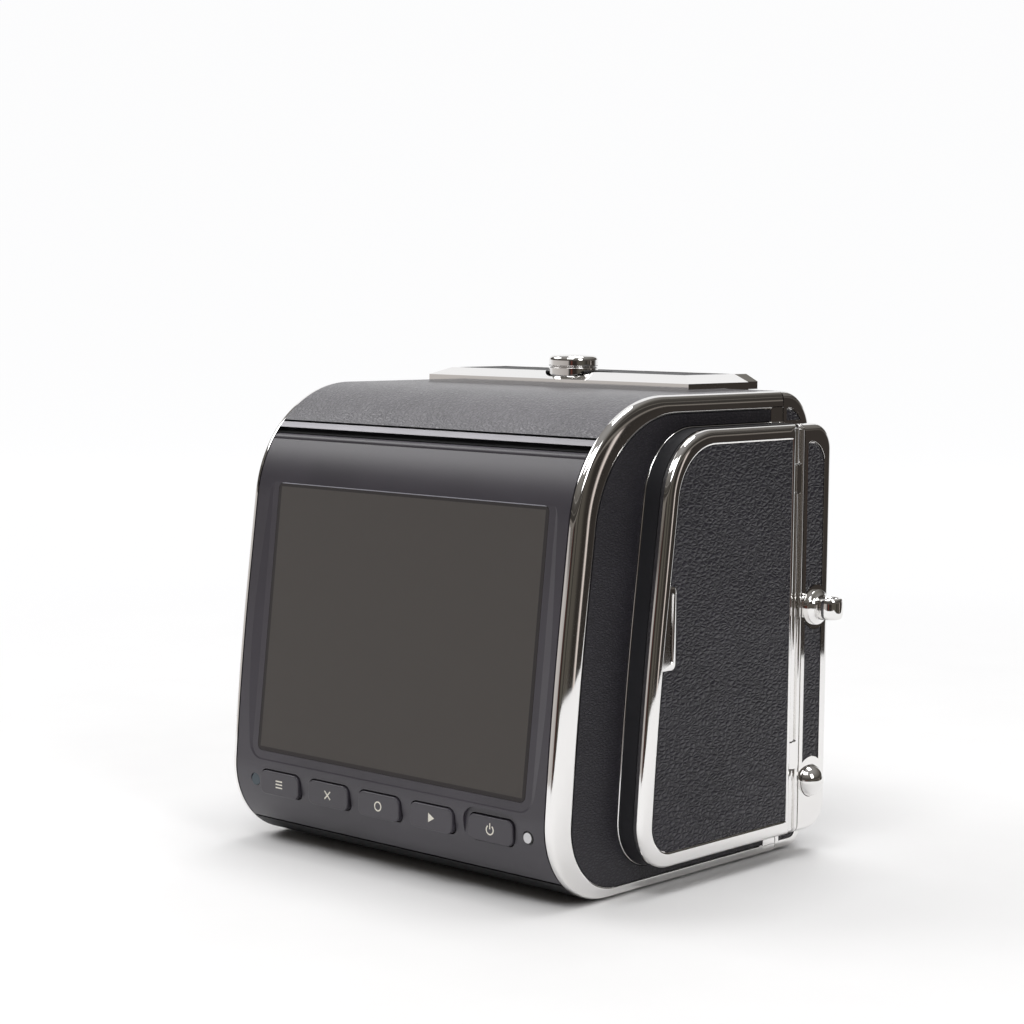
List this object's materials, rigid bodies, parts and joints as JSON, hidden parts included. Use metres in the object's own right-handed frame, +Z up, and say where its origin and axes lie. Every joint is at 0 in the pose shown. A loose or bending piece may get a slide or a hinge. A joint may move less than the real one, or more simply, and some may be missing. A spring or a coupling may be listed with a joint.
{
  "type": "medium format digital camera",
  "caption": "Medium format digital camera: a back with a tilting rear screen and side doors, joined to a thin body with an open lens mount.",
  "frame": {"origin": "middle of the camera's box in X and Y, on the surface that it stands on", "axes": "+X to the user's right, seen from behind the screen; +Y along the lens axis, out of the lens mount; +Z up"},
  "size_m": [0.102, 0.084, 0.0925],
  "materials": {
    "satin_metal": "satin chromed metal",
    "dark_casting": "black painted casting",
    "grained_leather": "black grained covering",
    "black_plastic": "fine black plastic",
    "gloss_black": "black, half gloss",
    "inlay_black": "matt black inlay",
    "polished_metal": "polished",
    "steel": "turned steel",
    "cover_glass": "dark polished glass over the display",
    "filter_glass": "coated clear glass",
    "sensor": "dark, iridescent",
    "display": "dark display layers",
    "circuit": "solder resist on a board",
    "gold": "gold plated",
    "lamp": "milky white",
    "card_label": "moulded"
  },
  "bodies": {
    "camera": {"back_casing": "dark_casting", "front_plate": "dark_casting", "right_side_frame": "satin_metal", "left_side_frame": "satin_metal", "right_side_leather": "grained_leather", "left_side_leather": "grained_leather", "right_pod_wall": "black_plastic", "left_pod_wall": "black_plastic", "door_pins": "steel", "top_leather": "grained_leather", "hinge_strip": "satin_metal", "deck_plate": "satin_metal", "deck_cover": "inlay_black", "base_plate": "dark_casting", "tripod_socket": "steel", "screen_hinge_pins": "steel", "sensor_frame": "dark_casting", "sensor_filter": "filter_glass", "image_sensor": "sensor", "sensor_board": "circuit", "heat_spreader": "satin_metal", "main_board": "circuit", "battery": "black_plastic", "battery_bay": "black_plastic", "memory_cards": "card_label", "card_reader": "black_plastic", "socket_block": "black_plastic", "right_body_frame": "satin_metal", "left_body_frame": "satin_metal", "body_side_leathers": "grained_leather", "body_casting": "dark_casting", "body_deck": "satin_metal", "front_leather": "grained_leather", "mount_boss": "satin_metal", "bayonet_ring": "steel", "mount_screws": "steel", "contact_block": "black_plastic", "contact_pins": "gold", "strap_lugs": "polished_metal"},
    "release_knob": {"release_knob": "polished_metal"},
    "screen_panel": {"screen_bezel": "gloss_black", "screen_back_cover": "black_plastic", "screen_glass": "cover_glass", "display_module": "display", "key_board": "circuit", "light_sensor": "display", "status_lamp": "lamp"},
    "right_door": {"right_door": "satin_metal", "right_door_leather": "grained_leather"},
    "left_door": {"left_door": "satin_metal", "left_door_leather": "grained_leather"},
    "lens_lock_pin": {"lens_lock_pin": "steel"},
    "lens_release": {"lens_release": "polished_metal"},
    "control_wheel": {"control_wheel": "satin_metal"},
    "shutter_button": {"shutter_button": "polished_metal"},
    "menu_key": {"menu_key": "gloss_black"},
    "cancel_key": {"cancel_key": "gloss_black"},
    "select_key": {"select_key": "gloss_black"},
    "playback_key": {"playback_key": "gloss_black"},
    "power_key": {"power_key": "gloss_black"}
  },
  "joints": [
    {"name": "screen_tilt", "type": "hinge", "parent": "camera", "child": "screen_panel", "pos_m": [0, -0.03095, 0.07591], "axis": [-1, 0, 0], "range_deg": [0, 90]},
    {"name": "right_door_hinge", "type": "hinge", "parent": "camera", "child": "right_door", "pos_m": [0.04445, 0.01925, 0.0431], "axis": [0, 0, 1], "range_deg": [0, 90]},
    {"name": "left_door_hinge", "type": "hinge", "parent": "camera", "child": "left_door", "pos_m": [-0.04445, 0.01925, 0.0431], "axis": [0, 0, -1], "range_deg": [0, 90]},
    {"name": "back_release", "type": "slide", "parent": "camera", "child": "release_knob", "axis": [1, 0, 0], "range_m": [0, 0.003], "stiffness_N_per_m": 900, "springref_m": -0.001},
    {"name": "lens_pin_slide", "type": "slide", "parent": "camera", "child": "lens_lock_pin", "axis": [0, -1, 0], "range_m": [0, 0.001], "stiffness_N_per_m": 400, "springref_m": -0.001},
    {"name": "lens_release_press", "type": "slide", "parent": "camera", "child": "lens_release", "axis": [-1, 0, 0], "range_m": [0, 0.0012], "stiffness_N_per_m": 700, "springref_m": -0.001},
    {"name": "wheel_turn", "type": "hinge", "parent": "camera", "child": "control_wheel", "pos_m": [0.0335, 0.03045, 0.0125], "axis": [0, 1, 0], "continuous": true},
    {"name": "shutter_press", "type": "slide", "parent": "camera", "child": "shutter_button", "axis": [0, -1, 0], "range_m": [0, 0.0009], "stiffness_N_per_m": 700, "springref_m": -0.001},
    {"name": "menu_press", "type": "slide", "parent": "screen_panel", "child": "menu_key", "axis": [0, 1, 0], "range_m": [0, 0.0004], "stiffness_N_per_m": 900, "springref_m": -0.0006},
    {"name": "cancel_press", "type": "slide", "parent": "screen_panel", "child": "cancel_key", "axis": [0, 1, 0], "range_m": [0, 0.0004], "stiffness_N_per_m": 900, "springref_m": -0.0006},
    {"name": "select_press", "type": "slide", "parent": "screen_panel", "child": "select_key", "axis": [0, 1, 0], "range_m": [0, 0.0004], "stiffness_N_per_m": 900, "springref_m": -0.0006},
    {"name": "playback_press", "type": "slide", "parent": "screen_panel", "child": "playback_key", "axis": [0, 1, 0], "range_m": [0, 0.0004], "stiffness_N_per_m": 900, "springref_m": -0.0006},
    {"name": "power_press", "type": "slide", "parent": "screen_panel", "child": "power_key", "axis": [0, 1, 0], "range_m": [0, 0.0004], "stiffness_N_per_m": 900, "springref_m": -0.0006}
  ],
  "couplings": [
    {"joint": "lens_pin_slide", "follows": "lens_release_press", "ratio": 0.83333}
  ]
}
